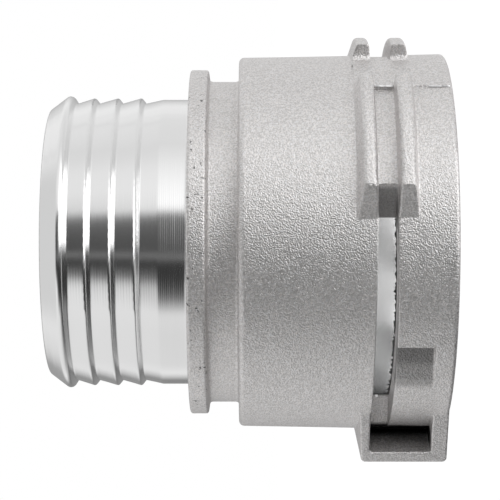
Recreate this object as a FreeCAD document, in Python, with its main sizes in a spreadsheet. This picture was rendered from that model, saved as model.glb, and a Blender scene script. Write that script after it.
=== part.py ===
"""Coolant hose connector, cast in aluminium and machined where it seals.

Frame: millimetres, +Z up along the bore. The mouth that slides over a coolant
pipe lies in the plane Z = 0 and the barbed hose spigot points up. The casting
is symmetric about the plane Y = 0, and +X is the middle of the plain strip
between the two pairs of clip ribs.
"""
import FreeCAD, Part
import math
import os
import re
import Sketcher

# Name, value and meaning of each driving dimension. Lengths are in
# millimetres, angles in degrees, and heights are measured from the mouth.
SIZES = [
    ("socket_radius", 21.7, "guide bore that slides over the pipe collar"),
    ("socket_depth", 13.5, "mouth to the end of the guide bore"),
    ("socket_lead", 1.0, "chamfer at the mouth of the guide bore"),
    ("pilot_step", 1.6, "guide bore down to the bore that the pipe nose runs in"),
    ("pilot_lead", 1.0, "chamfer that guides the pipe nose to the seal"),
    ("front_land", 2.0, "guide bore end to the seal groove"),
    ("rear_land", 3.6, "seal groove to the stop shoulder"),
    ("stop_step", 1.9, "stop shoulder that the pipe nose meets"),
    ("shoulder_wall", 3.65, "stop shoulder to the top of the main body"),
    ("throat_rise", 1.0, "taper's start below the flange"),
    ("throat_taper", 3.0, "length of the taper down to the spigot bore"),
    ("seal_section_radius", 1.75, "section of the rubber seal"),
    ("seal_stand_out", 0.73, "seal above the bore that the pipe nose runs in"),
    ("seal_seat_gap", 0.03, "seal to the bottom of its groove"),
    ("seal_side_room", 0.45, "room to either side of the seal"),
    ("body_wall", 2.31, "wall behind the seal groove, at the mouth"),
    ("body_draft", 1.05, "casting draft of the main body"),
    ("body_rounding", 0.7, "top edge of the main body"),
    ("mouth_rounding", 0.5, "outer edge of the mouth"),
    ("neck_wall", 3.3, "wall of the neck between the main body and the flange"),
    ("neck_length", 3.87, "length of the neck"),
    ("neck_rounding", 0.4, "inner corners of the neck"),
    ("flange_height", 1.57, "neck to the rim of the flange that the hose stops at"),
    ("flange_thickness", 2.78, "flange at its root"),
    ("flange_front_draft", 3.0, "slope of the flange face at the hose"),
    ("flange_back_draft", 8.0, "slope of the flange face at the neck"),
    ("flange_rounding", 0.35, "rim of the flange"),
    ("land_radius", 19.1, "plain land of the spigot under the hose clamp"),
    ("land_length", 3.5, "flange to the end of the land"),
    ("land_rounding", 0.8, "end of the land"),
    ("spigot_wall", 2.8, "wall of the spigot at the land"),
    ("first_barb_step", 2.88, "end of the land to the first barb crest"),
    ("barb_pitch", 3.12, "crest to crest"),
    ("barb_height", 0.23, "barb crests over the land, before rounding"),
    ("barb_sink", 0.5, "valleys between the barbs under the land"),
    ("barb_back_angle", 52.0, "steep side of a barb against the axis"),
    ("barb_rounding", 0.25, "barb crests"),
    ("nose_height", 0.75, "leading bead over the land, before rounding"),
    ("nose_back_angle", 58.0, "steep side of the leading bead against the axis"),
    ("nose_rounding", 0.6, "crest of the leading bead"),
    ("nose_length", 2.71, "leading bead to the tip"),
    ("tip_drop", 1.3, "outer edge of the tip face under the land"),
    ("tip_rounding", 0.3, "outer edge of the tip face"),
    ("clip_level", 8.78, "height of the wire clip's plane"),
    ("strip_half_angle", 9.3, "plain strip to either side of +X"),
    ("strip_proud", 0.1, "plain strip over the body at the mouth"),
    ("strip_rise", 3.62, "clip's plane to the end of the plain strip"),
    ("rib_height", 2.17, "crest of the clip ribs over the body"),
    ("upper_rib_crest", 1.55, "width of the upper rib at its crest"),
    ("lower_rib_crest", 1.79, "width of the lower rib at its crest"),
    ("upper_rib_slope", 19.0, "outer flank of the upper rib"),
    ("lower_rib_slope", 12.5, "outer flank of the lower rib"),
    ("rib_rounding", 0.5, "crest edges of the clip ribs"),
    ("rib_root_rounding", 0.9, "hollow root of the ribs' ends at the plain strip"),
    ("rib_end_rounding", 0.3, "edges of the ribs' end faces"),
    ("rib_end_margin", 2.4, "slot floor to the end corner of the rib crests"),
    ("rib_end_slope", 8.0, "end faces of the ribs against the mirror plane"),
    ("channel_width", 2.46, "clip channel between the ribs, at its floor"),
    ("channel_depth", 0.36, "floor of the clip channel under the body's surface"),
    ("channel_slope", 5.0, "channel flanks"),
    ("slot_bite", 4.4, "chordal slot's floor inside the guide bore's radius"),
    ("slot_inset", 0.07, "slot narrower than the channel, on either side"),
    ("slot_draft", 1.5, "slot walls"),
    ("slot_tail", 0.23, "slot's run out under the lug, past the body's surface"),
    ("slot_lead", 0.37, "slot's start in the clip channel, inside the body's surface"),
    ("lug_shelter", 2.93, "body's surface at the slot to the outer floor of the lug"),
    ("lug_rim_margin", 3.8, "slot floor to the rim of the lug"),
    ("lug_floor_wall", 1.55, "floor of the lug"),
    ("lug_mouth_wall", 2.15, "wall of the lug at the mouth"),
    ("lug_cavity_rise", 1.35, "clip plane to the upper wall of the cavity"),
    ("lug_upper_wall", 1.05, "upper wall of the lug at its outer corner"),
    ("lug_upper_slope", 2.5, "upper wall of the lug along its rim"),
    ("lug_upper_draft", 4.5, "upper wall of the lug behind its rim"),
    ("lug_corner_rounding", 0.65, "outer corners of the lug"),
    ("lug_cavity_rounding", 0.45, "inner corners of the lug"),
    ("lug_rim_rounding", 0.22, "edges of the lug's rim"),
    ("pocket_depth", 0.86, "floor of the side pocket under the body's surface"),
    ("pocket_start", 1.07, "side pocket's upper wall, on the -X side"),
    ("pocket_tail", 8.5, "side pocket's run out, on the -X side"),
    ("pocket_end", 2.65, "mouth to the end wall of the side pocket"),
    ("pocket_rounding", 0.35, "corner of the side pocket"),
]

BARB_COUNT = 3
ALIASES = {name for name, value, meaning in SIZES}

# How far cuts and buried ends run past the surface they end at, in millimetres
# and in degrees about the axis, and how close two places are to be the same.
OVERRUN = "1"
TURN_OVERRUN = "6 deg"
ROOT_OVERRUN = "1 deg"
SAME_PLACE = 1e-4

# Where the inner corner of the lug's square block lies, inside the bore.
BLOCK_CORNER_TURN = "45 deg"

# Radii that follow from the driving dimensions, from the bore outwards.
PILOT = "(socket_radius - pilot_step)"
THROAT = f"({PILOT} - stop_step)"
SEAL_CENTRE = f"({PILOT} - seal_stand_out + seal_section_radius)"
SEAL_GROOVE = f"({SEAL_CENTRE} + seal_section_radius + seal_seat_gap)"
SPIGOT_BORE = "(land_radius - spigot_wall)"
NECK = f"({THROAT} + neck_wall)"
FLANGE = f"({NECK} + flange_height)"
BARB_CREST = "(land_radius + barb_height)"
BARB_VALLEY = "(land_radius - barb_sink)"
NOSE_CREST = "(land_radius + nose_height)"
TIP_EDGE = "(land_radius - tip_drop)"
BODY = f"({SEAL_GROOVE} + body_wall)"
STRIP = f"({BODY} + strip_proud)"
RIB = f"({BODY} + rib_height)"
CHANNEL = f"({BODY} - channel_depth)"

# Heights that follow, from the mouth upwards.
SEAL_START = "(socket_depth + front_land)"
SEAL_WIDTH = "(2 * seal_section_radius + 2 * seal_side_room)"
SEAL_END = f"({SEAL_START} + {SEAL_WIDTH})"
SHOULDER = f"({SEAL_END} + rear_land)"
BODY_TOP = f"({SHOULDER} + shoulder_wall)"
FLANGE_BASE = f"({BODY_TOP} + neck_length)"
FLANGE_TOP = f"({FLANGE_BASE} + flange_thickness)"
LAND_END = f"({FLANGE_TOP} + land_length)"
NOSE = f"({LAND_END} + first_barb_step + {BARB_COUNT} * barb_pitch)"
TIP = f"({NOSE} + nose_length)"
CHANNEL_TOP = "(clip_level + channel_width / 2)"
CHANNEL_BASE = "(clip_level - channel_width / 2)"
SLOT_TOP = f"({CHANNEL_TOP} - slot_inset)"
SLOT_BASE = f"({CHANNEL_BASE} + slot_inset)"
CAVITY_TOP = "(clip_level + lug_cavity_rise)"
LUG_TOP = f"({CAVITY_TOP} + lug_upper_wall)"

# Reaches from the mirror plane, and along X on either side of the clip's slot.
SLOT_FLOOR = "(socket_radius - slot_bite)"
SLOT_EXIT = f"sqrt({BODY} ^ 2 - {SLOT_FLOOR} ^ 2)"
RIB_END = f"({SLOT_FLOOR} + rib_end_margin)"
LUG_RIM = f"({SLOT_FLOOR} + lug_rim_margin)"
LUG_ROOT = f"({SLOT_FLOOR} * cos({BLOCK_CORNER_TURN}))"
LUG_FLOOR = f"({SLOT_EXIT} + lug_shelter)"
LUG_CAVITY_FLOOR = f"({LUG_FLOOR} - lug_floor_wall)"
POCKET_FLOOR = f"({BODY} - pocket_depth)"

# Turns from the plain strip to past the end of the ribs and of the channel, and from
# the ribs' roots on the strip to its edge.
ROOT_TURN = f"2 * asin(rib_root_rounding / {PILOT})"
RIB_TURN = f"asin({RIB_END} / {CHANNEL}) + {TURN_OVERRUN} - strip_half_angle * 1 deg + {ROOT_TURN}"
CHANNEL_TURN = f"asin({SLOT_FLOOR} / {CHANNEL}) + {TURN_OVERRUN} - strip_half_angle * 1 deg"


def bound(text):
    """The expression with each size's name bound to its cell of the sheet."""
    return re.sub(r"[a-z_]+", lambda word: ("Sizes." if word[0] in ALIASES else "") + word[0], text)


def value(text):
    """The number that an expression has now."""
    result = sheet.evalExpression(bound(text))
    return float(getattr(result, "Value", result))


def same(first, second):
    """Whether two places along an axis are one."""
    return abs(first - second) < SAME_PLACE


def origin_plane(body, role):
    """One of a body's own origin planes."""
    return next(item for item in body.Origin.OriginFeatures if item.Role == role)


def sketch_on(body, name, role, shift=None, turn=None):
    """An empty sketch on an origin plane, shifted along its normal or turned about Z to -Y."""
    sketch = body.newObject("Sketcher::SketchObject", name)
    sketch.AttachmentSupport = (origin_plane(body, role), [""])
    sketch.MapMode = "FlatFace"
    if shift:
        sketch.setExpression("AttachmentOffset.Base.z", bound(shift))
    if turn:
        axis = FreeCAD.Vector(0, -1, 0) if role == "XZ_Plane" else FreeCAD.Vector(0, 0, -1)
        sketch.AttachmentOffset = FreeCAD.Placement(FreeCAD.Vector(), FreeCAD.Rotation(axis, value(turn)))
        sketch.setExpression("AttachmentOffset.Rotation.Angle", bound(turn))
    return sketch


def bind(sketch, constraint, text):
    """Add a dimension to a sketch and bind it to an expression."""
    index = sketch.addConstraint(constraint)
    sketch.setExpression(f"Constraints[{index}]", bound(text))


def pin_point(sketch, geometry, position, across, up):
    """Dimension a point of a sketch from the sketch's origin."""
    bind(sketch, Sketcher.Constraint("DistanceX", -1, 1, geometry, position, value(across)), across)
    bind(sketch, Sketcher.Constraint("DistanceY", -1, 1, geometry, position, value(up)), up)


def rounded_corner(before, corner, after, radius):
    """Centre and the two tangent points of the arc that rounds a corner."""
    to_before = (before - corner).normalize()
    to_after = (after - corner).normalize()
    half = to_before.getAngle(to_after) / 2
    bisector = (to_before + to_after).normalize()
    centre = corner + bisector * (radius / math.sin(half))
    run = radius / math.tan(half)
    return centre, corner + to_before * run, corner + to_after * run


def draw_outline(sketch, corners):
    """A closed outline of lines and tangent arcs.

    Each corner is a pair of expressions, or three where it is rounded: the
    third is the radius, and the pair is where the two sides would meet.
    """
    points = [FreeCAD.Vector(value(corner[0]), value(corner[1]), 0) for corner in corners]
    starts = list(points)
    ends = list(points)
    arcs = {}
    for index, corner in enumerate(corners):
        if len(corner) == 3:
            radius = value(corner[2])
            after = points[(index + 1) % len(points)]
            centre, arrive, leave = rounded_corner(points[index - 1], points[index], after, radius)
            ends[index] = arrive
            starts[index] = leave
            arcs[index] = (centre, radius, arrive, leave)
    lines = []
    for index in range(len(points)):
        segment = Part.LineSegment(starts[index], ends[(index + 1) % len(points)])
        lines.append(sketch.addGeometry(segment, False))
    for index, corner in enumerate(corners):
        line_in = lines[index - 1]
        line_out = lines[index]
        if index not in arcs:
            sketch.addConstraint(Sketcher.Constraint("Coincident", line_in, 2, line_out, 1))
            pin_point(sketch, line_out, 1, corner[0], corner[1])
            continue
        centre, radius, arrive, leave = arcs[index]
        turns_left = (points[index] - points[index - 1]).cross(leave - points[index]).z > 0
        first, last = (arrive, leave) if turns_left else (leave, arrive)
        spoke_first = first - centre
        spoke_last = last - centre
        angle_first = math.atan2(spoke_first.y, spoke_first.x)
        angle_last = math.atan2(spoke_last.y, spoke_last.x)
        circle = Part.Circle(centre, FreeCAD.Vector(0, 0, 1), radius)
        arc = sketch.addGeometry(Part.ArcOfCircle(circle, angle_first, angle_last), False)
        corner_point = sketch.addGeometry(Part.Point(points[index]), True)
        arc_in, arc_out = (1, 2) if turns_left else (2, 1)
        sketch.addConstraint(Sketcher.Constraint("Tangent", line_in, 2, arc, arc_in))
        sketch.addConstraint(Sketcher.Constraint("Tangent", arc, arc_out, line_out, 1))
        sketch.addConstraint(Sketcher.Constraint("PointOnObject", corner_point, 1, line_in))
        sketch.addConstraint(Sketcher.Constraint("PointOnObject", corner_point, 1, line_out))
        bind(sketch, Sketcher.Constraint("Radius", arc, radius), corner[2])
        pin_point(sketch, corner_point, 1, corner[0], corner[1])


def turned(body, name, kind, sketch, angle=None, reverse=False, midplane=False):
    """Turn a sketch about the bore's axis, to add or to cut."""
    feature = body.newObject(f"PartDesign::{kind}", name)
    feature.Profile = sketch
    feature.ReferenceAxis = (sketch, ["V_Axis"])
    feature.Reversed = reverse
    feature.Midplane = midplane
    if angle:
        feature.setExpression("Angle", bound(angle))
    else:
        feature.Angle = 360
    return feature


def edges_that(shape, test):
    """Names of a shape's edges whose end points pass a test."""
    names = []
    for number, edge in enumerate(shape.Edges, 1):
        if test([vertex.Point for vertex in edge.Vertexes]):
            names.append(f"Edge{number}")
    return names


def clip_ribs(body):
    """The pair of ribs that guide the wire clip, on the -Y side.

    Their roots are buried in the wall, behind the bore that is cut later.
    """
    rise = f"({RIB} - {CHANNEL})"
    drop = f"({RIB} - {PILOT})"
    root_drop = f"({CHANNEL} - {PILOT})"
    sketch = sketch_on(body, "rib_sections", "XZ_Plane", turn=f"strip_half_angle * 1 deg - {ROOT_TURN}")
    upper_inner = f"({CHANNEL_TOP} + {rise} * tan(channel_slope))"
    upper_outer = f"({upper_inner} + upper_rib_crest)"
    draw_outline(sketch, [
        (PILOT, f"{CHANNEL_TOP} - {root_drop} * tan(channel_slope)"),
        (RIB, upper_inner, "rib_rounding"),
        (RIB, upper_outer, "rib_rounding"),
        (PILOT, f"{upper_outer} + {drop} * tan(upper_rib_slope)"),
    ])
    lower_inner = f"({CHANNEL_BASE} - {rise} * tan(channel_slope))"
    lower_outer = f"({lower_inner} - lower_rib_crest)"
    draw_outline(sketch, [
        (PILOT, f"{lower_outer} - {drop} * tan(lower_rib_slope)"),
        (RIB, lower_outer, "rib_rounding"),
        (RIB, lower_inner, "rib_rounding"),
        (PILOT, f"{CHANNEL_BASE} + {root_drop} * tan(channel_slope)"),
    ])
    turned(body, "ribs", "Revolution", sketch, RIB_TURN, reverse=True)
    doc.recompute()

    ends = sketch_on(body, "rib_end_line", "XY_Plane")
    crest_end = f"sqrt({RIB} ^ 2 - {RIB_END} ^ 2)"
    past = f"({RIB} + {OVERRUN})"
    draw_outline(ends, [
        ("0", f"-({RIB_END} + {crest_end} * tan(rib_end_slope))"),
        ("0", f"-{past} * 2"),
        (past, f"-{past} * 2"),
        (past, f"-({RIB_END} + ({crest_end} - {past}) * tan(rib_end_slope))"),
    ])
    trim = body.newObject("PartDesign::Pocket", "rib_end_trim")
    trim.Profile = ends
    trim.Type = "ThroughAll"
    trim.Reversed = True
    doc.recompute()

    starts = sketch_on(body, "rib_start_line", "XY_Plane", turn="strip_half_angle")
    root = f"({ROOT_TURN} + {ROOT_OVERRUN})"
    draw_outline(starts, [
        (past, "0"),
        (STRIP, "0", "rib_root_rounding"),
        (f"{STRIP} * cos{root}", f"{STRIP} * sin{root}"),
        (past, f"{STRIP} * sin{root}"),
    ])
    roots = body.newObject("PartDesign::Pocket", "rib_start_trim")
    roots.Profile = starts
    roots.Type = "ThroughAll"
    roots.Reversed = True
    doc.recompute()

    crest = value(RIB)
    reach = value(RIB_END)
    rounding = body.newObject("PartDesign::Fillet", "rib_end_rounding")
    rounding.Base = (roots, edges_that(
        roots.Shape,
        lambda ends: all(same(math.hypot(p.x, p.y), crest) and same(p.y, -reach) for p in ends),
    ))
    rounding.setExpression("Radius", bound("rib_end_rounding"))
    doc.recompute()
    return rounding


def clip_lug(body):
    """The open lug that shields the clip's bent end, on the -Y side.

    Its upper wall slopes along the rim and again behind it, so the block is
    padded square and the slope is cut along a slanting direction.
    """
    run = f"({LUG_FLOOR} - {LUG_ROOT})"
    depth = f"({LUG_RIM} - {LUG_ROOT})"
    rim = sketch_on(body, "lug_outline", "XZ_Plane", shift=LUG_RIM)
    draw_outline(rim, [
        (f"-{LUG_FLOOR}", "0"),
        (f"-{LUG_ROOT}", "0"),
        (f"-{LUG_ROOT}", f"{LUG_TOP} + {depth}"),
        (f"-{LUG_FLOOR}", f"{LUG_TOP} + {depth}"),
    ])
    block = body.newObject("PartDesign::Pad", "lug_block")
    block.Profile = rim
    block.Reversed = True
    block.setExpression("Length", bound(depth))
    doc.recompute()

    slope = sketch_on(body, "lug_upper_line", "XZ_Plane", shift=f"{LUG_RIM} + {OVERRUN}")
    outer_side = f"-{LUG_FLOOR} - {OVERRUN}"
    inner_side = f"-{LUG_ROOT} + {OVERRUN}"
    fall = f"{OVERRUN} * tan(lug_upper_draft)"
    draw_outline(slope, [
        (outer_side, f"{LUG_TOP} - {OVERRUN} * tan(lug_upper_slope) - {fall}"),
        (inner_side, f"{LUG_TOP} + ({run} + {OVERRUN}) * tan(lug_upper_slope) - {fall}"),
        (inner_side, f"{LUG_TOP} + 2 * {depth}"),
        (outer_side, f"{LUG_TOP} + 2 * {depth}"),
    ])
    shaped = body.newObject("PartDesign::Pocket", "lug_upper_slope")
    shaped.Profile = slope
    shaped.UseCustomVector = True
    shaped.Direction = FreeCAD.Vector(0, 1, 0)
    shaped.setExpression("Direction.z", bound("tan(lug_upper_draft)"))
    shaped.setExpression("Length", bound(f"{depth} + 2 * {OVERRUN}"))
    doc.recompute()

    floor_place = -value(LUG_FLOOR)
    corners = body.newObject("PartDesign::Fillet", "lug_corner_rounding")
    corners.Base = (shaped, edges_that(
        shaped.Shape,
        lambda ends: all(same(p.x, floor_place) for p in ends) and not same(ends[0].y, ends[-1].y),
    ))
    corners.setExpression("Radius", bound("lug_corner_rounding"))
    doc.recompute()

    opening = sketch_on(body, "lug_cavity_outline", "XZ_Plane", shift=LUG_RIM)
    draw_outline(opening, [
        (f"-{LUG_CAVITY_FLOOR}", "lug_mouth_wall", "lug_cavity_rounding"),
        (inner_side, "lug_mouth_wall"),
        (inner_side, CAVITY_TOP),
        (f"-{LUG_CAVITY_FLOOR}", CAVITY_TOP, "lug_cavity_rounding"),
    ])
    cavity = body.newObject("PartDesign::Pocket", "lug_cavity")
    cavity.Profile = opening
    cavity.setExpression("Length", bound(depth))
    doc.recompute()

    rim_place = -value(LUG_RIM)
    root_place = -value(LUG_ROOT) - SAME_PLACE
    rounding = body.newObject("PartDesign::Fillet", "lug_rim_rounding")
    rounding.Base = (cavity, edges_that(
        cavity.Shape,
        lambda ends: all(same(p.y, rim_place) for p in ends) and min(p.x for p in ends) < root_place,
    ))
    rounding.setExpression("Radius", bound("lug_rim_rounding"))
    doc.recompute()
    return rounding


def outer_form(body):
    """The turned outside of the casting and of its machined spigot, as one outline."""
    sketch = sketch_on(body, "outer_outline", "XZ_Plane")
    shoulder = f"({BODY} - {BODY_TOP} * tan(body_draft))"
    flange_low = f"({FLANGE_BASE} + flange_height * tan(flange_back_draft))"
    flange_high = f"({FLANGE_TOP} - ({FLANGE} - land_radius) * tan(flange_front_draft))"
    corners = [
        ("0", "0"),
        (BODY, "0", "mouth_rounding"),
        (shoulder, BODY_TOP, "body_rounding"),
        (NECK, BODY_TOP, "neck_rounding"),
        (NECK, FLANGE_BASE, "neck_rounding"),
        (FLANGE, flange_low, "flange_rounding"),
        (FLANGE, flange_high, "flange_rounding"),
        ("land_radius", FLANGE_TOP),
        ("land_radius", LAND_END, "land_rounding"),
    ]
    for barb in range(BARB_COUNT):
        crest = f"({LAND_END} + first_barb_step + {barb} * barb_pitch)"
        valley = f"{crest} - ({BARB_CREST} - {BARB_VALLEY}) / tan(barb_back_angle)"
        corners.append((BARB_VALLEY, valley))
        corners.append((BARB_CREST, crest, "barb_rounding"))
    corners += [
        (BARB_VALLEY, f"{NOSE} - ({NOSE_CREST} - {BARB_VALLEY}) / tan(nose_back_angle)"),
        (NOSE_CREST, NOSE, "nose_rounding"),
        (TIP_EDGE, TIP, "tip_rounding"),
        ("0", TIP),
    ]
    draw_outline(sketch, corners)
    turned(body, "outer_form", "Revolution", sketch)
    doc.recompute()


def plain_strip(body):
    """The strip between the rib pairs, which keeps one radius where the body tapers."""
    sketch = sketch_on(body, "strip_section", "XZ_Plane")
    draw_outline(sketch, [
        (CHANNEL, "2 * mouth_rounding"),
        (STRIP, "2 * mouth_rounding"),
        (STRIP, "clip_level + strip_rise"),
        (CHANNEL, "clip_level + strip_rise"),
    ])
    turned(body, "plain_strip", "Revolution", sketch, "2 * strip_half_angle", midplane=True)
    doc.recompute()


def clip_cuts(body):
    """Channel, chordal slot and side pocket on the -Y side."""
    section = sketch_on(body, "channel_section", "XZ_Plane", turn="strip_half_angle")
    past = f"({RIB} + {OVERRUN})"
    rise = f"({past} - {CHANNEL})"
    draw_outline(section, [
        (CHANNEL, CHANNEL_BASE),
        (past, f"{CHANNEL_BASE} - {rise} * tan(channel_slope)"),
        (past, f"{CHANNEL_TOP} + {rise} * tan(channel_slope)"),
        (CHANNEL, CHANNEL_TOP),
    ])
    channel = turned(body, "clip_channel", "Groove", section, CHANNEL_TURN, reverse=True)
    doc.recompute()

    floor = sketch_on(body, "slot_floor", "XZ_Plane", shift=SLOT_FLOOR)
    draw_outline(floor, [
        (f"-{SLOT_EXIT} - slot_tail", SLOT_BASE),
        (f"{SLOT_EXIT} - slot_lead", SLOT_BASE),
        (f"{SLOT_EXIT} - slot_lead", SLOT_TOP),
        (f"-{SLOT_EXIT} - slot_tail", SLOT_TOP),
    ])
    slot = body.newObject("PartDesign::Pocket", "clip_slot")
    slot.Profile = floor
    slot.Reversed = True
    slot.setExpression("Length", bound(f"{past} - {SLOT_FLOOR}"))
    slot.setExpression("TaperAngle", bound("slot_draft"))
    doc.recompute()

    recess = sketch_on(body, "side_pocket_floor", "XZ_Plane", shift=POCKET_FLOOR)
    draw_outline(recess, [
        ("-pocket_tail", "pocket_end"),
        ("-pocket_start", "pocket_end", "pocket_rounding"),
        ("-pocket_start", "clip_level"),
        ("-pocket_tail", "clip_level"),
    ])
    pocket = body.newObject("PartDesign::Pocket", "side_pocket")
    pocket.Profile = recess
    pocket.Reversed = True
    pocket.setExpression("Length", bound(f"{RIB} - {POCKET_FLOOR}"))
    doc.recompute()
    return [channel, slot, pocket]


def mirrored(body, name, features=None):
    """Repeat features, or the whole shape so far, on the other side of Y = 0."""
    mirror = body.newObject("PartDesign::Mirrored", name)
    mirror.MirrorPlane = (origin_plane(body, "XZ_Plane"), [""])
    if features:
        mirror.Originals = features
    else:
        mirror.TransformMode = "Whole shape"
    body.Tip = mirror
    doc.recompute()


def bore(body):
    """The stepped bore, with the seal groove, from the mouth to the tip."""
    sketch = sketch_on(body, "bore_outline", "XZ_Plane")
    draw_outline(sketch, [
        ("0", f"-{OVERRUN}"),
        (f"socket_radius + socket_lead + {OVERRUN}", f"-{OVERRUN}"),
        ("socket_radius", "socket_lead"),
        ("socket_radius", "socket_depth"),
        (f"{PILOT} + pilot_lead", "socket_depth"),
        (PILOT, "socket_depth + pilot_lead"),
        (PILOT, SEAL_START),
        (SEAL_GROOVE, SEAL_START),
        (SEAL_GROOVE, SEAL_END),
        (PILOT, SEAL_END),
        (PILOT, SHOULDER),
        (THROAT, SHOULDER),
        (THROAT, f"{FLANGE_BASE} - throat_rise"),
        (SPIGOT_BORE, f"{FLANGE_BASE} - throat_rise + throat_taper"),
        (SPIGOT_BORE, f"{TIP} + {OVERRUN}"),
        ("0", f"{TIP} + {OVERRUN}"),
    ])
    turned(body, "bore", "Groove", sketch)
    doc.recompute()


def make_connector():
    """The casting with everything that is machined into it."""
    body = doc.addObject("PartDesign::Body", "connector_body")
    body.Label = "connector_body"
    clip_ribs(body)
    clip_lug(body)
    mirrored(body, "far_ribs_and_lug")
    outer_form(body)
    plain_strip(body)
    mirrored(body, "far_clip_cuts", clip_cuts(body))
    bore(body)
    return body


def make_seal():
    """The rubber ring that lies in the seal groove."""
    body = doc.addObject("PartDesign::Body", "seal_ring")
    body.Label = "seal_ring"
    sketch = sketch_on(body, "seal_section", "XZ_Plane")
    radius = value("seal_section_radius")
    up = f"{SEAL_START} + {SEAL_WIDTH} / 2"
    centre = FreeCAD.Vector(value(SEAL_CENTRE), value(up), 0)
    circle = sketch.addGeometry(Part.Circle(centre, FreeCAD.Vector(0, 0, 1), radius), False)
    bind(sketch, Sketcher.Constraint("Radius", circle, radius), "seal_section_radius")
    pin_point(sketch, circle, 3, SEAL_CENTRE, up)
    turned(body, "seal", "Revolution", sketch)
    doc.recompute()
    return body


os.makedirs("parts", exist_ok=True)
doc = FreeCAD.newDocument("hose_connector")
sheet = doc.addObject("Spreadsheet::Sheet", "Sizes")
for row, (name, number, meaning) in enumerate(SIZES, 1):
    sheet.set(f"A{row}", name)
    sheet.set(f"B{row}", str(number))
    sheet.set(f"C{row}", meaning)
    sheet.setAlias(f"B{row}", name)
doc.recompute()

pieces = [make_connector(), make_seal()]
for item in doc.Objects:
    if "Invalid" in item.State or "Error" in item.State:
        raise RuntimeError(f"{item.Label} failed: {item.getStatusString()}")
for piece in pieces:
    if piece.Shape.isNull() or not piece.Shape.isValid() or len(piece.Shape.Solids) != 1:
        raise RuntimeError(f"{piece.Label} is not one sound solid")
for piece in pieces:
    piece.Shape.exportStep(os.path.join("parts", f"{piece.Label}.step"))
    print(f"{piece.Label}: {piece.Shape.Volume:.1f} cubic millimetres, {len(piece.Shape.Faces)} faces")
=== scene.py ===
# %% [markdown]
# # A coolant hose connector in cast aluminium
# This script dresses one small casting: a barbed spigot for a hose, a flange, and a
# socket that a pipe is pushed into. Its solids come packed from the CAD model, in metres,
# with Z along the bore. Here they get their finish, and the little traces that casting and
# cutting leave, which a CAD model has no use for. Everything is placed from the frame.

# %% Load the fixed frame
import math

import bmesh
import bpy
import numpy as np
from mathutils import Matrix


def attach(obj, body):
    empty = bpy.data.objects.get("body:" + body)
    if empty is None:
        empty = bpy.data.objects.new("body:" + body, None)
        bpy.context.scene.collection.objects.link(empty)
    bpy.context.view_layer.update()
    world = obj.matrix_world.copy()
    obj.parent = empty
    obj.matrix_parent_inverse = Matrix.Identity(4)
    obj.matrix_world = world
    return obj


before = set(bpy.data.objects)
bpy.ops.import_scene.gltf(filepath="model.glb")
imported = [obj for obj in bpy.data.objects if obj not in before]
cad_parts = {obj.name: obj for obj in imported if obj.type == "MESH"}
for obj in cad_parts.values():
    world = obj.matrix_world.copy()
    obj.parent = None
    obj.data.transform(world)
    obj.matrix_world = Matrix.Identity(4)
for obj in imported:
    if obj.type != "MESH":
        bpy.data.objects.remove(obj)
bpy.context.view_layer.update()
MM = 0.001
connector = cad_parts["connector_body"]
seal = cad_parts["seal_ring"]

# %% [markdown]
# ## Sizes that the finishes need
# The frame gives boxes, but a finish that changes at an edge has to know where that edge
# is. It could be found in the mesh, but a named number is plainer to read. These are the
# connector's own steps, measured from its mouth at Z = 0. They are few, because one rule
# covers all of the casting and another covers all that was turned.

# %% The steps of the bore and the spigot
GUIDE_BORE = 21.7 * MM
SEAL_GROOVE = 22.9 * MM
SEAL_GROOVE_START = 15.5 * MM
SEAL_GROOVE_END = 19.9 * MM
STOP_SHOULDER = 23.5 * MM
THROAT = 18.2 * MM
FLANGE_TOP = 33.8 * MM
FLANGE_FACE = 22.72 * MM
CLIP_LEVEL = 8.78 * MM
SLOT_WIDTH = 2.32 * MM
SLOT_FLOOR = 17.3 * MM

# %% [markdown]
# ## The camera
# The part is photographed from the side with its bore lying level, spigot to the left.
# The part could be laid on its side for that, but the frame is fixed. So it stands on its
# mouth, and the camera lies on its side instead: it looks square at the bore from the
# azimuth below, and its right is the part's down.

# %% Place the camera
AZIMUTH = math.radians(29.5)
DISTANCE = 256.5 * MM
AIM_HEIGHT = 25.7 * MM
AIM_ASIDE = -1.1 * MM
LENS = 136.8
TO_CAMERA = np.array([math.sin(AZIMUTH), -math.cos(AZIMUTH), 0.0])
PICTURE_UP = np.array([math.cos(AZIMUTH), math.sin(AZIMUTH), 0.0])
PICTURE_RIGHT = np.array([0.0, 0.0, -1.0])

camera_data = bpy.data.cameras.new("camera")
camera_data.lens = LENS
camera = bpy.data.objects.new("camera", camera_data)
bpy.context.scene.collection.objects.link(camera)
stand = TO_CAMERA * DISTANCE + PICTURE_UP * AIM_ASIDE + np.array([0.0, 0.0, AIM_HEIGHT])
pose = np.eye(4)
pose[:3, 0] = PICTURE_RIGHT
pose[:3, 1] = PICTURE_UP
pose[:3, 2] = TO_CAMERA
pose[:3, 3] = stand
camera.matrix_world = pose.T.tolist()
bpy.context.scene.camera = camera
bpy.context.scene.view_settings.view_transform = "Standard"
print("camera at", [round(float(place), 4) for place in stand])

# %% [markdown]
# ## Small helpers for node trees
# A finish is a tree of nodes. It could be wired up box by box, but it is easier to read as
# a formula. `Tree` adds a node and links its inputs in one line, and each of its methods
# gives back the socket that the next step takes.


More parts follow.
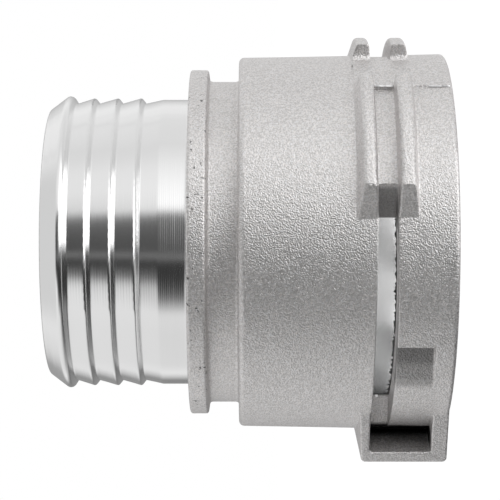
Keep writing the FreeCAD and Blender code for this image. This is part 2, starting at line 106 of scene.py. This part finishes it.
# %% Helpers for node trees
class Tree:
    """A node tree that is written like a formula: each method returns an output socket."""

    def __init__(self, nodes, links):
        self.nodes = nodes
        self.links = links

    def node(self, kind, inputs=(), **settings):
        """Add a node, set its properties, and link or set its inputs by name or number."""
        made = self.nodes.new(kind)
        for name, setting in settings.items():
            setattr(made, name, setting)
        for name, source in dict(inputs).items():
            if isinstance(source, bpy.types.NodeSocket):
                self.links.new(source, made.inputs[name])
            else:
                made.inputs[name].default_value = source
        return made

    def place(self):
        """Where a point is on its piece, in the piece's own coordinates."""
        return self.node("ShaderNodeTexCoord").outputs["Object"]

    def math(self, operation, first, second=0.0, third=0.0):
        """One step of arithmetic."""
        inputs = {0: first, 1: second, 2: third}
        return self.node("ShaderNodeMath", inputs, operation=operation).outputs[0]

    def span(self, share, low, high):
        """Low where share is 0, high where it is 1, and in between on a straight line."""
        return self.math("MULTIPLY_ADD", share, high - low, low)

    def ramp(self, value, low, high, bottom=0.0, top=1.0):
        """A smooth step from bottom to top as value goes from low to high."""
        inputs = {"Value": value, 1: low, 2: high, 3: bottom, 4: top}
        step = self.node("ShaderNodeMapRange", inputs, interpolation_type="SMOOTHSTEP")
        return step.outputs["Result"]

    def noise(self, vector, size, detail=2.0, roughness=0.5):
        """Noise between 0 and 1 whose grains are about that size across."""
        inputs = {"Vector": vector, "Scale": 1 / size, "Detail": detail, "Roughness": roughness}
        return self.node("ShaderNodeTexNoise", inputs).outputs[0]

    def mix(self, share, first, second, blend_type="MIX"):
        """A colour between two colours, which are sockets 6 and 7 of the Mix node."""
        inputs = {"Factor": share, 6: first, 7: second}
        made = self.node("ShaderNodeMix", inputs, data_type="RGBA", blend_type=blend_type)
        return made.outputs[2]


def new_material(name):
    """An empty material and its node tree with one Principled shader, joined up."""
    material = bpy.data.materials.new(name)
    material.use_nodes = True
    tree = Tree(material.node_tree.nodes, material.node_tree.links)
    tree.nodes.clear()
    shader = tree.node("ShaderNodeBsdfPrincipled")
    output = tree.node("ShaderNodeOutputMaterial")
    tree.links.new(shader.outputs[0], output.inputs["Surface"])
    return material, tree, shader


def grey(level):
    """A neutral colour of that level."""
    return (level, level, level, 1.0)


# %% [markdown]
# ## Light
# Bright metal has no look of its own: it shows the room. Lamps would give it a few hard
# spots, so the light comes from a world that is written as a table. The room is a pale
# studio. It has a dark side behind the camera and below it, which is the broad dark band
# on the turned spigot and the soft shade under the middle of the casting, and a bright
# panel above the camera, which is the light upper third of both. Three rings say how
# bright the room is round the part: one on the side of the mouth, one level with the
# camera, and one on the side of the spigot. Between them the levels are blended, and the
# room's far end beyond the spigot is plain and pale.

# %% The levels of the room
# Degrees from the camera towards the top of the picture: mouth side, level, spigot side.
# A colour ramp holds no more than 32 stops.
ROOM = [
    (-180.0, 0.50, 0.30, 0.50),
    (-150.0, 0.08, 0.22, 0.45),
    (-140.0, 0.10, 0.60, 0.62),
    (-132.0, 0.20, 0.86, 0.72),
    (-118.0, 0.08, 0.72, 0.80),
    (-80.0, 0.04, 0.71, 0.79),
    (-60.0, 0.03, 0.75, 0.80),
    (-53.0, 0.03, 0.42, 0.88),
    (-46.0, 0.03, 0.12, 0.92),
    (-39.0, 0.03, 0.03, 0.80),
    (-31.0, 0.03, 0.03, 0.20),
    (-22.0, 0.06, 0.03, 0.04),
    (-15.5, 0.06, 0.04, 0.04),
    (-14.0, 0.08, 0.17, 0.17),
    (-10.0, 0.18, 0.17, 0.17),
    (-8.5, 0.34, 0.08, 0.06),
    (3.0, 2.10, 0.09, 0.08),
    (15.0, 3.00, 0.12, 0.12),
    (20.5, 2.30, 0.15, 0.22),
    (27.0, 2.30, 1.10, 0.63),
    (45.0, 2.10, 1.00, 0.77),
    (62.0, 1.80, 0.88, 0.79),
    (76.0, 0.60, 0.79, 0.72),
    (84.0, 0.64, 0.76, 0.71),
    (85.0, 0.64, 0.62, 0.71),
    (86.0, 0.64, 0.76, 0.72),
    (105.0, 0.70, 0.75, 0.82),
    (113.0, 0.72, 0.78, 0.84),
    (115.0, 0.72, 0.72, 0.58),
    (117.0, 0.72, 0.80, 0.84),
    (140.0, 0.75, 0.88, 0.88),
    (180.0, 0.50, 0.30, 0.50),
]
MOUTH_SIDE, LEVEL, SPIGOT_SIDE = 1, 2, 3
HALF_TURN = 180.0
print("the rings have", len(ROOM), "stops each")


# %% Helpers for directions and rays
def along(tree, vector, axis):
    """How far a direction goes along an axis."""
    inputs = {0: vector, 1: tuple(float(part) for part in axis)}
    return tree.node("ShaderNodeVectorMath", inputs, operation="DOT_PRODUCT").outputs["Value"]


def ring(tree, share, side):
    """Brightness round the part on one side of the room, as a ramp with a stop per angle."""
    made = tree.node("ShaderNodeValToRGB", {"Fac": share})
    stops = made.color_ramp.elements
    while len(stops) < len(ROOM):
        stops.new(0.5)
    for stop, levels in zip(stops, ROOM):
        stop.position = (levels[0] + HALF_TURN) / (2 * HALF_TURN)
        stop.color = grey(levels[side])
    return made.outputs["Color"]


def blend_to(tree, value, reach, first, second):
    """From first to second as value goes from one end of reach to the other."""
    share = tree.node("ShaderNodeMapRange", {"Value": value, 1: reach[0], 2: reach[1]})
    return tree.mix(share.outputs["Result"], first, second)


def looking_and_mirrored(tree):
    """Two masks: rays that look at a thing, also through a clear one, and mirrored rays."""
    path = tree.node("ShaderNodeLightPath").outputs
    looking = tree.math("MAXIMUM", path["Is Camera Ray"], path["Is Transmission Ray"])
    return looking, path["Is Glossy Ray"]


# %% [markdown]
# The world tells three kinds of rays apart. Those that look straight at it, also through
# something clear, see plain white. Those that metal mirrors see the rings. All others,
# which light what is dull, see one plain level, so that a colour renders about as written.

# %% The studio as a world
SIDE_REACH = (0.0, 0.75)
END_REACH = (0.80, 0.90)
SPIGOT_END = 0.66
PLAIN_LIGHT = 0.8

world = bpy.data.worlds.new("studio")
bpy.context.scene.world = world
world.use_nodes = True
room = Tree(world.node_tree.nodes, world.node_tree.links)
room.nodes.clear()
direction = room.node("ShaderNodeTexCoord").outputs["Generated"]
# A whole turn, from -180 to 180 degrees, becomes a share from 0 to 1.
turn = room.math("ARCTAN2", along(room, direction, PICTURE_UP), along(room, direction, TO_CAMERA))
share = room.math("MULTIPLY_ADD", turn, 0.5 / math.pi, 0.5)
to_spigot = along(room, direction, (0, 0, 1))
to_mouth = along(room, direction, (0, 0, -1))
studio = blend_to(room, to_spigot, SIDE_REACH, ring(room, share, LEVEL), ring(room, share, SPIGOT_SIDE))
studio = blend_to(room, to_mouth, SIDE_REACH, studio, ring(room, share, MOUTH_SIDE))
studio = blend_to(room, to_spigot, END_REACH, studio, grey(SPIGOT_END))
looking, mirrored = looking_and_mirrored(room)
level = room.mix(mirrored, grey(PLAIN_LIGHT), studio)
background = room.node("ShaderNodeBackground", {"Color": room.mix(looking, level, grey(1.0))})
world_output = room.node("ShaderNodeOutputWorld")
room.links.new(background.outputs[0], world_output.inputs["Surface"])
print("the world has", len(room.nodes), "nodes")

# %% [markdown]
# ## The floor
# A white disc under the mouth. White paint alone would look grey in the plain light, and a
# glow alone would lose the part's shadow. So the camera sees a glow with a little shaded
# paint mixed in. Rays that the metal mirrors go on through the floor, because the levels of
# the room already stand for it. From beneath it is clear, so that the mouth can be looked
# into.

# %% The disc
FLOOR_RADIUS = 1.5
FLOOR_DROP = 0.02 * MM
FLOOR_SIDES = 96

angles = np.linspace(0.0, 2 * math.pi, FLOOR_SIDES, endpoint=False)
rim = np.stack([np.cos(angles), np.sin(angles)], axis=1) * FLOOR_RADIUS
corners = np.concatenate([rim, np.full((FLOOR_SIDES, 1), -FLOOR_DROP)], axis=1)
floor_mesh = bpy.data.meshes.new("floor")
floor_mesh.from_pydata(corners.tolist(), [], [tuple(range(FLOOR_SIDES))])
floor = bpy.data.objects.new("floor", floor_mesh)
bpy.context.scene.collection.objects.link(floor)
print("the floor is", 2 * FLOOR_RADIUS, "m across")


# %% The floor's paint and glow
def blend(tree, share, first, second):
    """Two shaders mixed, with that share of the second."""
    made = tree.node("ShaderNodeMixShader", {"Fac": share})
    tree.links.new(first.outputs[0], made.inputs[1])
    tree.links.new(second.outputs[0], made.inputs[2])
    return made


FLOOR_LEVEL = 0.9
FLOOR_ROUGHNESS = 0.9
FLOOR_GLOW = 1.09
FLOOR_PAINT = 0.13

floor_material, tree, paint = new_material("floor_paint")
paint.inputs["Base Color"].default_value = grey(FLOOR_LEVEL)
paint.inputs["Roughness"].default_value = FLOOR_ROUGHNESS
looking, mirrored = looking_and_mirrored(tree)
glow = tree.node("ShaderNodeEmission", {"Color": grey(1.0), "Strength": FLOOR_GLOW})
clear = tree.node("ShaderNodeBsdfTransparent")
either = blend(tree, looking, paint, blend(tree, FLOOR_PAINT, glow, paint))
either = blend(tree, mirrored, either, clear)
beneath = tree.node("ShaderNodeNewGeometry").outputs["Backfacing"]
either = blend(tree, beneath, either, clear)
output = next(node for node in tree.nodes if node.type == "OUTPUT_MATERIAL")
tree.links.new(either.outputs[0], output.inputs["Surface"])
floor_mesh.materials.append(floor_material)
print("the camera sees the floor at", round(FLOOR_GLOW * (1 - FLOOR_PAINT), 3), "and its paint")

# %% [markdown]
# ## Aluminium, cast and turned
# The connector is one piece of metal with two skins. As it left the mould it was blasted
# with shot, which gives a fine even grain of dents 0.15 to 0.2 mm across. The spigot, the
# bore and the mouth were then turned, which cut that skin away and left bright metal with
# a groove for each turn of the tool. The faces could be sorted into two materials, but then
# the change would be as hard as a line of ink. So one material holds both skins, and a mask
# made from the place on the part says which is which, as that is how the boundary came about.

# %% Height, radius and masks
EDGE = 0.05 * MM
metal, tree, shader = new_material("aluminium_cast_and_turned")
place = tree.place()
split = tree.node("ShaderNodeSeparateXYZ", {0: place}).outputs
height = split["Z"]
flat = tree.node("ShaderNodeVectorMath", {0: place, 1: (1, 1, 0)}, operation="MULTIPLY")
flat_length = tree.node("ShaderNodeVectorMath", {0: flat.outputs[0]}, operation="LENGTH")
radius = flat_length.outputs["Value"]


def inside(limit, value):
    """1 where value is under limit, 0 above it."""
    return tree.ramp(value, limit, limit + EDGE, 1.0, 0.0)


def outside(limit, value):
    """1 where value is over limit, 0 under it."""
    return tree.ramp(value, limit - EDGE, limit)


def all_of(*masks):
    """The product of the masks: 1 where each of them is 1."""
    result = masks[0]
    for mask in masks[1:]:
        result = tree.math("MULTIPLY", result, mask)
    return result


def any_of(*masks):
    """The highest of the masks: 1 where any of them is 1."""
    result = masks[0]
    for mask in masks[1:]:
        result = tree.math("MAXIMUM", result, mask)
    return result


print("a mask goes over within", round(EDGE / MM, 3), "mm")

# %% Where the metal was turned
CHAMFER_END = 1.0 * MM
THROAT_LIMIT = THROAT + 0.6 * MM
FACING_START = FLANGE_TOP - 0.2 * MM

in_socket = all_of(inside(GUIDE_BORE, radius), inside(STOP_SHOULDER, height))
in_groove = all_of(inside(SEAL_GROOVE, radius), outside(SEAL_GROOVE_START, height),
                   inside(SEAL_GROOVE_END, height))
in_chamfer = all_of(inside(SEAL_GROOVE, radius), inside(CHAMFER_END, height))
in_throat = inside(THROAT_LIMIT, radius)
on_mouth = inside(0.0, height)
on_spigot = all_of(outside(FACING_START, height), inside(FLANGE_FACE, radius))
turned = any_of(in_socket, in_groove, in_chamfer, in_throat, on_mouth, on_spigot)
print("turned above", round(FACING_START / MM, 2), "mm and within", round(THROAT_LIMIT / MM, 2), "mm")

# %% [markdown]
# ### The blasted skin
# Two noises, one at the size of the dents and one twice as coarse, are added up. The sum
# shifts the bump and the colour together, as one dent does both on the real metal. The
# dents could be modelled, but that would take millions of faces for something that never
# shows in the outline. A third noise tints single grains warm or cool, and a slow one in
# patches changes how dull the metal is.

# %% The blasted skin
DENT = 0.18 * MM
COARSE_DENT = 2 * DENT
COARSE_SHARE = 0.3
TINTED_GRAIN = DENT / 0.7
PATCH = 2.5 * MM
DENT_LEVELS = (0.45, 0.85)
DENT_FLOOR_COLOUR = (0.675, 0.66, 0.65, 1.0)
WARM_GRAIN = (0.93, 0.885, 0.855, 1.0)
COOL_GRAIN = (0.865, 0.875, 0.90, 1.0)
CAST_ROUGHNESS = (0.44, 0.54)

grain = tree.noise(place, DENT, detail=0.5)
coarse = tree.noise(place, COARSE_DENT, detail=0.0)
dents = tree.math("MULTIPLY_ADD", coarse, COARSE_SHARE, grain)
tint = tree.noise(place, TINTED_GRAIN, detail=0.0)
warm_or_cool = tree.mix(tint, WARM_GRAIN, COOL_GRAIN)
cast_colour = tree.mix(tree.ramp(dents, *DENT_LEVELS), DENT_FLOOR_COLOUR, warm_or_cool)
patches = tree.noise(place, PATCH)
cast_roughness = tree.span(patches, *CAST_ROUGHNESS)
print("about", round(MM**2 / DENT**2), "dents to a square millimetre")

# %% [markdown]
# ### The recesses, with painted shade
# The slots' starts, the side pockets and the lugs are darkened in the colour: painted shade,
# for the shade that falls in these recesses. It could be painted on a picture, but that
# would have to be unwrapped and drawn. Here each recess is a mask again, made from three
# measures: how deep a place lies under the tapering wall, how far it is along the clip's
# path, and how far it is to the side. Each mask gives the share of the colour that is lost.

# %% Three measures for the recesses
WALL = 25.21 * MM
WALL_TAPER = math.tan(math.radians(1.05))

wall_here = tree.math("MULTIPLY_ADD", height, -WALL_TAPER, WALL)
depth = tree.math("SUBTRACT", wall_here, radius)
along_clip = split["X"]
aside = tree.node("ShaderNodeMath", {0: split["Y"]}, operation="ABSOLUTE").outputs[0]
print("the wall tapers by", round(WALL_TAPER * FLANGE_TOP / MM, 2), "mm up to the flange")

# %% The start of the slots
BODY_TOP = 27.0 * MM
POCKET_START = -1.0 * MM
SLOT_START = 12.6 * MM
SHADE_DEPTH = (0.30 * MM, 0.80 * MM)
CUT_THROUGH_DEPTH = (0.95 * MM, 1.20 * MM)
SLOT_SHADE = 0.45

# Painted shade: the start face of each slot is darkened where it lies deep under the wall.
sunk = all_of(tree.ramp(depth, *SHADE_DEPTH), inside(BODY_TOP, height), outside(POCKET_START, along_clip))
# Past its start the slot is cut right through, and its walls get no painted shade.
cut_through = all_of(tree.ramp(depth, *CUT_THROUGH_DEPTH), inside(SLOT_START, along_clip))
slot_shade = all_of(sunk, tree.math("SUBTRACT", 1.0, cut_through), SLOT_SHADE)
print("the painted shade starts", round(SHADE_DEPTH[0] / MM, 2), "mm under the wall")

# %% The side pockets
POCKET_END = (-8.2 * MM, -6.6 * MM)
POCKET_SIDE = (2.6 * MM, 3.0 * MM)
POCKET_TOP = 8.8 * MM
POCKET_DARKEST = (-4.6 * MM, -3.0 * MM)
POCKET_SHADES = (0.38, 0.62)

# Painted shade in the side pockets, darkest a little way along the clip and fading at the pocket's end.
beside_slot = all_of(tree.ramp(height, *POCKET_SIDE), inside(POCKET_TOP, height))
in_pocket = all_of(inside(POCKET_START, along_clip), tree.ramp(along_clip, *POCKET_END))
darkness = tree.ramp(along_clip, *POCKET_DARKEST, *POCKET_SHADES)
not_cut_through = tree.ramp(depth, *CUT_THROUGH_DEPTH, 1.0, 0.0)
pocket_shade = all_of(beside_slot, in_pocket, darkness, not_cut_through)
print("a pocket is shaded over", round((POCKET_START - POCKET_END[0]) / MM, 1), "mm")

# %% The lugs
LUG_BOTTOM = (-19.9 * MM, -19.5 * MM)
LUG_ROOT = (-18.0 * MM, -17.2 * MM)
LUG_LEVELS = (2.1 * MM, 10.15 * MM)
LUG_CORNER = 15.4 * MM
LUG_WALL_FADE = (18.5 * MM, 21.1 * MM)
LUG_WALL_SHADES = (1.0, 0.25)
LUG_BOTTOM_FADE = (16.0 * MM, 17.7 * MM)
LUG_SHADE = 0.97

# Painted shade in the lugs: the walls and the bottom near the root are darkened almost to black.
in_lug = all_of(outside(LUG_LEVELS[0], height), inside(LUG_LEVELS[1], height), outside(LUG_CORNER, aside))
on_walls = all_of(outside(LUG_BOTTOM[1], along_clip), tree.ramp(along_clip, *LUG_ROOT, 1.0, 0.0),
                  tree.ramp(aside, *LUG_WALL_FADE, *LUG_WALL_SHADES))
on_bottom = all_of(outside(LUG_BOTTOM[0], along_clip), inside(LUG_BOTTOM[1], along_clip),
                   tree.ramp(aside, *LUG_BOTTOM_FADE, 1.0, 0.0))
lug_shade = all_of(in_lug, any_of(on_walls, on_bottom), LUG_SHADE)
print("a lug is", round((LUG_LEVELS[1] - LUG_LEVELS[0]) / MM, 2), "mm wide inside")

# %% Take the shade off the colour
# Painted shade: the masks of the recesses darken the colour of the cast skin.
left_over = tree.math("SUBTRACT", 1.0, any_of(slot_shade, pocket_shade, lug_shade))
cast_colour = tree.mix(1.0, cast_colour, left_over, blend_type="MULTIPLY")
print("the darkest place keeps", round(1.0 - LUG_SHADE, 2), "of its colour")

# %% [markdown]
# ### Pits in the rim of the flange
# Gas that is caught against the mould leaves small pits, and here a few patches of them
# show in the flange's rim. They could be cut into the rim, but each is a fraction of a
# millimetre across, so each is a dark speck instead: painted shade for the hollow of the
# pit. The peaks of one noise are the pits, and the patches of the cast skin say where
# they gather.

# %% The pits
PIT = 0.45 * MM
PIT_EDGE = (0.64, 0.70)
PIT_PATCHES = (0.50, 0.58)
PIT_SHADE_LEVEL = 0.10
RIM_START = FLANGE_TOP - 2.9 * MM

on_rim = all_of(outside(FLANGE_FACE, radius), outside(RIM_START, height))
pitted = all_of(on_rim, tree.ramp(patches, *PIT_PATCHES))
pits = all_of(tree.ramp(tree.noise(place, PIT, detail=1.0), *PIT_EDGE), pitted)
# Painted shade: each pit is a dark speck in the colour.
cast_colour = tree.mix(pits, cast_colour, grey(PIT_SHADE_LEVEL))
print("pits from", round(RIM_START / MM, 1), "to", round(FLANGE_TOP / MM, 1), "mm")

# %% [markdown]
# ### The turned skin
# There is one groove per turn, 0.25 mm apart. Rings could be cut into the profile, but a
# bump is enough for grooves this shallow. Height plus radius is the distance that the tool
# has travelled, on a cylinder as on a face, so one formula serves both. A noise that only
# depends on that distance makes some grooves deeper than others. The bore was finished
# finer than the spigot, because the seal slides in it.

# %% The turned skin
FEED = 0.25 * MM
CHATTER = 0.45 * MM
CHATTER_DETAIL = 4.0
CHATTER_ROUGHNESS = 0.75
GROOVE_SHARE = 0.07
BORE_GROOVES = 0.07
TURNED_ROUGHNESS = (0.1, 0.2)

travel = tree.math("ADD", height, radius)
groove = tree.math("SINE", tree.math("MULTIPLY", travel, 2 * math.pi / FEED))
travel_vector = tree.node("ShaderNodeCombineXYZ", {0: travel}).outputs[0]
chatter = tree.noise(travel_vector, CHATTER, CHATTER_DETAIL, CHATTER_ROUGHNESS)
lathe = tree.math("MULTIPLY_ADD", groove, GROOVE_SHARE, chatter)
turned_roughness = tree.span(chatter, *TURNED_ROUGHNESS)
in_bore = all_of(inside(STOP_SHOULDER, height), inside(SEAL_GROOVE, radius))
groove_strength = all_of(turned, tree.span(in_bore, 1.0, BORE_GROOVES))

# %% [markdown]
# ### Both skins in one shader
# Colour, roughness and bump each go over from cast to turned by the same mask, so that
# they change at the same line. Handling wears every edge a little round. Rounding each of
# them in the mesh would take many thin faces, so the Bevel node turns the normals near an
# edge instead, and the two bumps are laid on top of it.

# %% Colour and roughness
SPIGOT_LEVEL = 0.93
BORE_LEVEL = 0.985

turned_colour = tree.mix(in_bore, grey(SPIGOT_LEVEL), grey(BORE_LEVEL))
tree.links.new(tree.mix(turned, cast_colour, turned_colour), shader.inputs["Base Color"])
shader.inputs["Metallic"].default_value = 1.0
roughness_mix = {"Factor": turned, 2: cast_roughness, 3: turned_roughness}
roughness = tree.node("ShaderNodeMix", roughness_mix, data_type="FLOAT").outputs[0]
tree.links.new(roughness, shader.inputs["Roughness"])
print("cast roughness", CAST_ROUGHNESS, "and turned roughness", TURNED_ROUGHNESS)

# %% Worn edges, dents and grooves
EDGE_WEAR = 0.3 * MM
WEAR_SAMPLES = 8
DENT_DEPTH = 0.085 * MM
GROOVE_DEPTH = 0.016 * MM

worn = tree.node("ShaderNodeBevel", {"Radius": EDGE_WEAR}, samples=WEAR_SAMPLES).outputs[0]
cast_strength = tree.math("SUBTRACT", 1.0, turned)
dented = tree.node("ShaderNodeBump", {
    "Strength": cast_strength, "Distance": DENT_DEPTH, "Height": dents, "Normal": worn}).outputs[0]
grooved = tree.node("ShaderNodeBump", {
    "Strength": groove_strength, "Distance": GROOVE_DEPTH, "Height": lathe, "Normal": dented}).outputs[0]
tree.links.new(grooved, shader.inputs["Normal"])
connector.data.materials.clear()
connector.data.materials.append(metal)
print("the metal has", len(tree.nodes), "nodes")

# %% [markdown]
# ## Torn and raised edges
# Where the tool broke out of the metal it left burrs: fine dark teeth along the slots, on
# the edge where they open into the bore, and one bright chip at a slot's end. Where the
# halves of the mould met, a thin flash stands on one edge of the plain strip. A bump can't
# change an outline, so they are modelled. All of them are the same thing, a very thin wall
# of uneven height along a line, so one function makes them all.

# %% A thin torn wall along a line
SEED = 7
SUNK = 0.03 * MM
UP = np.array([0.0, 0.0, 1.0])
NEIGHBOURS = (0.25, 0.5, 0.25)
chance = np.random.default_rng(SEED)


def torn(count, lowest, highest):
    """Heights of a torn edge: a random level for each point, cubed so that tall teeth are
    rare, averaged with its neighbours so that each tooth has a foot, and nothing at the ends."""
    level = np.convolve(chance.random(count) ** 3, NEIGHBOURS, "same")
    heights = lowest + (highest - lowest) * level
    heights[[0, -1]] = 0.0
    return heights


def wall(line, rise, side, heights, thickness, tip_share=0.5):
    """Corners and faces of a closed thin wall. Each point of the line carries a section with
    two corners sunk under the line, half a thickness to either side, and two corners at its
    height along rise, apart by that share of the thickness. Neighbouring sections are joined
    by quads."""
    foot = line - rise * SUNK
    tip = line + rise * heights[:, None]
    half = side * thickness / 2
    section = [foot - half, foot + half, tip + half * tip_share, tip - half * tip_share]
    corners = np.stack(section, axis=1).reshape(-1, 3)
    first = np.arange(len(line) - 1)[:, None] * 4
    near = np.arange(4)[None, :]
    far = (near + 1) % 4
    quads = np.stack([first + near, first + far, first + far + 4, first + near + 4], axis=2)
    last = 4 * (len(line) - 1)
    ends = np.array([[0, 1, 2, 3], [last + 3, last + 2, last + 1, last]])
    return corners, np.concatenate([quads.reshape(-1, 4), ends])


def piece_of_walls(name, walls, material):
    """One object from several thin walls, faces turned outwards, riding with the casting."""
    corners, faces, count = [], [], 0
    for some_corners, some_faces in walls:
        corners.append(some_corners)
        faces.append(some_faces + count)
        count += len(some_corners)
    mesh = bpy.data.meshes.new(name)
    mesh.from_pydata(np.concatenate(corners).tolist(), [], np.concatenate(faces).tolist())
    shell = bmesh.new()
    shell.from_mesh(mesh)
    bmesh.ops.recalc_face_normals(shell, faces=shell.faces)
    shell.to_mesh(mesh)
    shell.free()
    mesh.materials.append(material)
    piece = bpy.data.objects.new(name, mesh)
    bpy.context.scene.collection.objects.link(piece)
    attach(piece, "root")
    print(name, "has", len(mesh.polygons), "faces")


# %% [markdown]
# Torn metal has two looks. The burrs in the slots lie in the dark, and their metal is
# coloured near black: real burrs, with painted shade along the slots' edges. The flash
# and the chip are bare and catch the light. Both are metal with a fine grit, so one
# function with two greys and a roughness gives either.

# %% Torn metal, dark and bright
GRIT = 0.1 * MM
DARK_BURR_LEVELS = (0.05, 0.16)
DARK_BURR_ROUGHNESS = 0.5
BARE_LEVELS = (0.86, 0.97)
BARE_ROUGHNESS = 0.3


def torn_metal(name, levels, roughness):
    """Metal with a fine grit between two levels of grey."""
    material, tree, shader = new_material(name)
    grit = tree.noise(tree.place(), GRIT)
    tree.links.new(tree.mix(grit, grey(levels[0]), grey(levels[1])), shader.inputs["Base Color"])
    shader.inputs["Metallic"].default_value = 1.0
    shader.inputs["Roughness"].default_value = roughness
    return material


# The burrs' near-black metal is painted shade on real torn teeth.
dark_burr_metal = torn_metal("torn_metal_dark", DARK_BURR_LEVELS, DARK_BURR_ROUGHNESS)
bare_metal = torn_metal("torn_metal_bright", BARE_LEVELS, BARE_ROUGHNESS)
print("torn metal:", dark_burr_metal.name, "and", bare_metal.name)

# %% [markdown]
# ### Burrs where the slots open into the bore
# A slot is a straight cut through a round wall, so its edge in the bore is an arc, and its
# two ends are short and straight. The teeth stand on the lower edge of that arc and across
# one end, where the cutter left the metal. They grow along the arc, because the cutter
# pushed them in front of it. The other slot has the same in the mirror.

# %% The burrs
BURR_STEP = 0.12 * MM
BURR_THICKNESS = 0.06 * MM
ARC_BURRS = (0.05 * MM, 0.55 * MM)
END_BURRS = (0.05 * MM, 0.6 * MM)
GROWTH = (0.7, 1.3)
SLOT_LOW_WALL = CLIP_LEVEL - SLOT_WIDTH / 2
SLOT_DRAFT = math.tan(math.radians(1.5))
ALONG_FLOOR = np.array([1.0, 0.0, 0.0])

half_span = math.acos(SLOT_FLOOR / GUIDE_BORE)
half_chord = math.sqrt(GUIDE_BORE**2 - SLOT_FLOOR**2)
burr_count = int(2 * half_span * GUIDE_BORE / BURR_STEP)
swing = np.linspace(half_span, -half_span, burr_count)
growth = np.linspace(*GROWTH, burr_count)
levels = np.arange(SLOT_LOW_WALL, SLOT_LOW_WALL + SLOT_WIDTH, BURR_STEP)
slot_walls = []
for hand in (-1.0, 1.0):
    out = np.stack([np.sin(swing), hand * np.cos(swing), np.zeros(burr_count)], axis=1)
    arc = out * GUIDE_BORE
    arc[:, 2] = SLOT_LOW_WALL - (np.abs(arc[:, 1]) - SLOT_FLOOR) * SLOT_DRAFT
    slot_walls.append(wall(arc, UP, out, torn(burr_count, *ARC_BURRS) * growth, BURR_THICKNESS))
    end = np.array([-half_chord, hand * SLOT_FLOOR, 0.0]) + levels[:, None] * UP
    sideways = np.array([0.0, hand, 0.0])
    slot_walls.append(wall(end, ALONG_FLOOR, sideways, torn(len(levels), *END_BURRS), BURR_THICKNESS))
piece_of_walls("slot_burrs", slot_walls, dark_burr_metal)

# %% [markdown]
# ### Flash and chip
# The flash is a low ridge with gentle sides, on the edge of the plain strip: near the mouth
# and where the clip's channel crosses it. A steep wall there would only show its dark side.
# The chip is a short wall that leans out of the slot, so that it catches the light.

# %% Flash on one edge of the plain strip
STRIP_ANGLE = math.radians(9.3)
STRIP_RADIUS = 25.28 * MM
CHANNEL_HALF = 1.2 * MM
FLASH_STEP = 0.15 * MM
FLASH_THICKNESS = 0.28 * MM
FLASH_TIP = 0.1
# Where each stretch starts and stops, and its lowest and highest point.
FLASH_AT_MOUTH = (0.35 * MM, 3.1 * MM, 0.07 * MM, 0.22 * MM)
FLASH_AT_CHANNEL = (CLIP_LEVEL - CHANNEL_HALF, CLIP_LEVEL + CHANNEL_HALF, 0.05 * MM, 0.2 * MM)

outwards = np.array([math.cos(STRIP_ANGLE), -math.sin(STRIP_ANGLE), 0.0])
sideways = np.array([math.sin(STRIP_ANGLE), math.cos(STRIP_ANGLE), 0.0])
bright_walls = []
for start, stop, lowest, highest in (FLASH_AT_MOUTH, FLASH_AT_CHANNEL):
    levels = np.arange(start, stop, FLASH_STEP)
    edge = outwards * STRIP_RADIUS + levels[:, None] * UP
    heights = torn(len(levels), lowest, highest)
    bright_walls.append(wall(edge, outwards, sideways, heights, FLASH_THICKNESS, tip_share=FLASH_TIP))
print("flash in", len(bright_walls), "stretches")

# %% The chip at the near slot's end
CHIP_AT = np.array([-13.15, -17.3, 9.0]) * MM
CHIP_LEAN = math.radians(226.5)
CHIP_HEIGHTS = np.array([0.0, 0.42, 0.30, 0.36, 0.0]) * MM
CHIP_STEP = 0.11 * MM

chip_rise = np.array([math.cos(CHIP_LEAN), math.sin(CHIP_LEAN), 0.0])
chip_side = np.array([-chip_rise[1], chip_rise[0], 0.0])
chip_line = CHIP_AT + np.arange(len(CHIP_HEIGHTS))[:, None] * CHIP_STEP * UP
bright_walls.append(wall(chip_line, chip_rise, chip_side, CHIP_HEIGHTS, BURR_THICKNESS))
piece_of_walls("edge_flash", bright_walls, bare_metal)

# %% [markdown]
# ## The seal
# A ring of black moulded rubber in its groove. A plain black would look like a hole, so
# the rubber is dull with a faint sheen where the mould was polished, and a fine speckle
# shifts its colour, its sheen and its surface together.

# %% The seal's rubber
SPECKLE = 0.3 * MM
RUBBER_DARK = (0.012, 0.012, 0.013, 1.0)
RUBBER_PALE = (0.03, 0.03, 0.032, 1.0)
RUBBER_ROUGHNESS = (0.4, 0.65)
RUBBER_BUMP = 0.4
RUBBER_BUMP_DEPTH = 0.01 * MM

rubber, tree, shader = new_material("black_rubber")
speckle = tree.noise(tree.place(), SPECKLE, detail=3.0)
tree.links.new(tree.mix(speckle, RUBBER_DARK, RUBBER_PALE), shader.inputs["Base Color"])
tree.links.new(tree.span(speckle, *RUBBER_ROUGHNESS), shader.inputs["Roughness"])
bump = {"Strength": RUBBER_BUMP, "Distance": RUBBER_BUMP_DEPTH, "Height": speckle}
tree.links.new(tree.node("ShaderNodeBump", bump).outputs[0], shader.inputs["Normal"])
seal.data.materials.clear()
seal.data.materials.append(rubber)
print("the seal has", len(seal.data.polygons), "faces")
